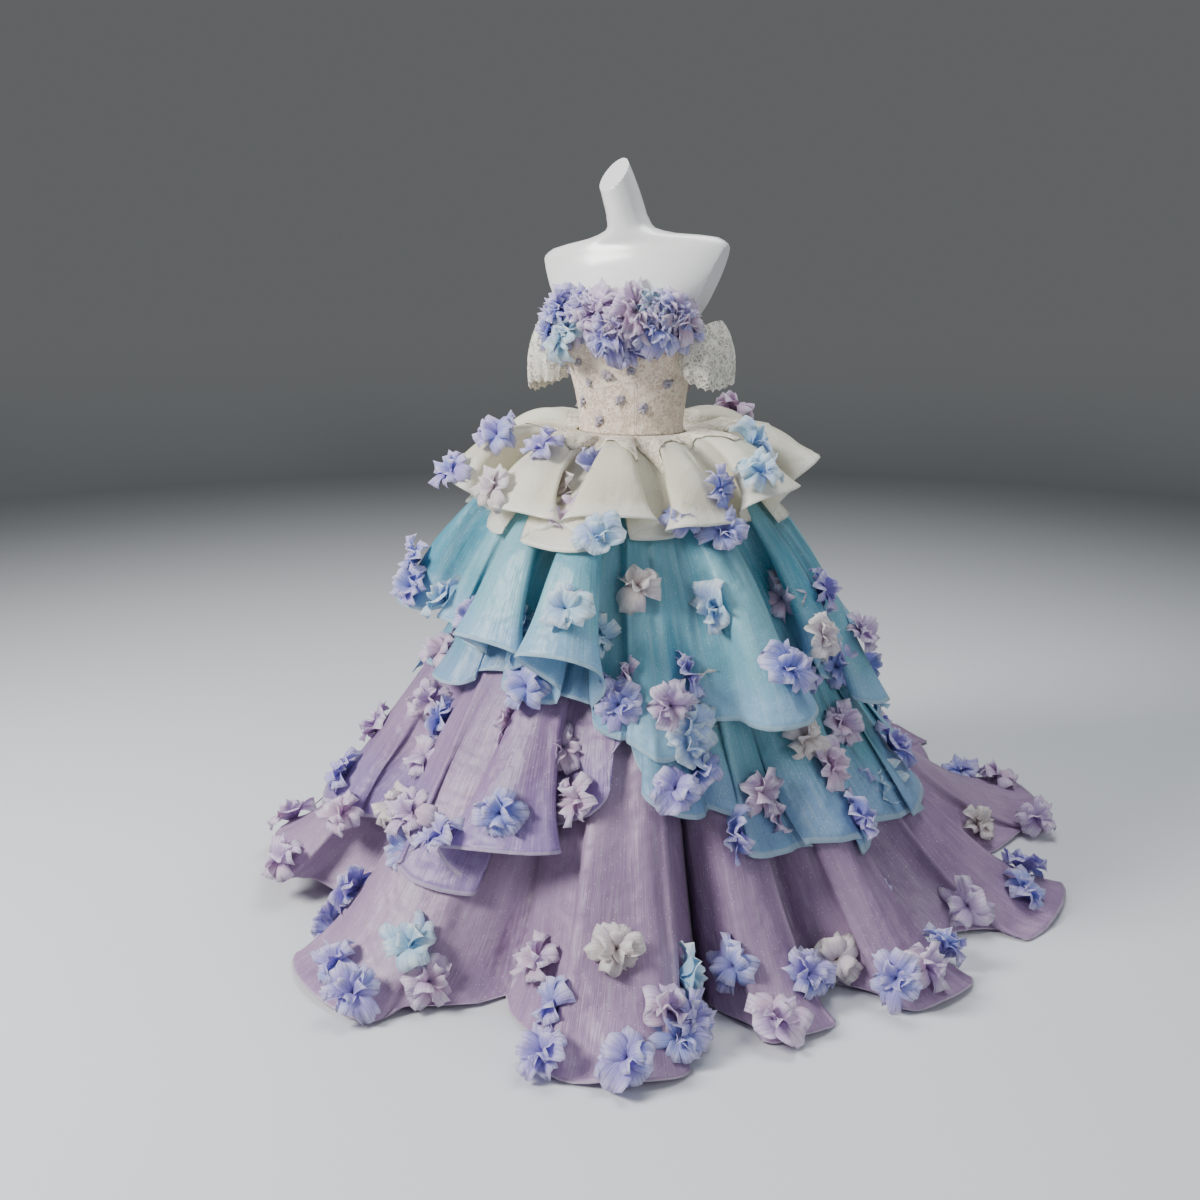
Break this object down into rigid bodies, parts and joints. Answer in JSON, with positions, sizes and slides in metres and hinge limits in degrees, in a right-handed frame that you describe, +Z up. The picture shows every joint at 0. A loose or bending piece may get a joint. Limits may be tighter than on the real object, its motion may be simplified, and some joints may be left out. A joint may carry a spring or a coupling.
{
  "type": "ball gown on a dress form",
  "caption": "Off-the-shoulder ball gown with a lace corset, a flounced peplum, tiered fluted skirt and train trimmed with fabric flowers, worn by a smooth limbless dress form on a round stand.",
  "frame": {"origin": "centre of the underside of the round stand, on the floor", "axes": "+Z up, -Y to the wearer's front, +X to the wearer's left, +Y towards the train"},
  "size_m": [1.9055, 2.0674, 1.6223],
  "materials": {
    "form_gloss": "glossy white lacquered form",
    "stand_metal": "satin steel",
    "lace": "blush and champagne corded lace",
    "cream": "ivory organza",
    "aqua": "aqua crinkled organza",
    "lilac": "lilac crinkled organza",
    "bloom_violet": "blue-violet organza petals",
    "bloom_lilac": "lilac organza petals",
    "bloom_aqua": "pale aqua organza petals"
  },
  "bodies": {
    "root": {"form_torso": "form_gloss", "stand_pole": "stand_metal", "stand_base": "stand_metal", "bodice_centre_front": "lace", "bodice_side_L": "lace", "bodice_back_L": "lace", "bodice_back_R": "lace", "bodice_side_R": "lace", "lace_basque": "lace", "sleeve_L": "lace", "sleeve_R": "lace", "peplum_front": "cream", "peplum_back": "cream", "aqua_upper_front": "aqua", "aqua_upper_back": "aqua", "aqua_lower_front": "aqua", "aqua_lower_back": "aqua", "lilac_upper_front": "lilac", "lilac_upper_back": "lilac", "skirt_front": "lilac", "skirt_side_L": "lilac", "skirt_side_R": "lilac", "skirt_train_L": "lilac", "skirt_train_R": "lilac", "bust_flower_1": "bloom_violet", "bust_flower_2": "bloom_violet", "bust_flower_3": "bloom_aqua", "bust_flower_4": "bloom_lilac", "bust_flower_5": "bloom_violet", "bust_flower_6": "bloom_lilac", "bust_flower_7": "bloom_violet", "bust_flower_8": "bloom_lilac", "flower_01": "bloom_lilac", "flower_02": "bloom_violet", "flower_03": "bloom_aqua", "flower_04": "bloom_violet", "flower_05": "bloom_aqua", "flower_06": "bloom_lilac", "flower_07": "bloom_violet", "flower_08": "bloom_aqua", "flower_09": "bloom_violet", "flower_10": "bloom_lilac", "flower_11": "bloom_violet", "flower_12": "bloom_violet", "flower_13": "bloom_lilac", "flower_14": "bloom_violet", "flower_15": "bloom_violet", "flower_16": "bloom_lilac", "flower_17": "bloom_lilac", "flower_18": "bloom_violet", "flower_19": "bloom_violet", "flower_20": "bloom_lilac", "flower_21": "bloom_violet", "flower_22": "bloom_lilac"}
  },
  "joints": []
}
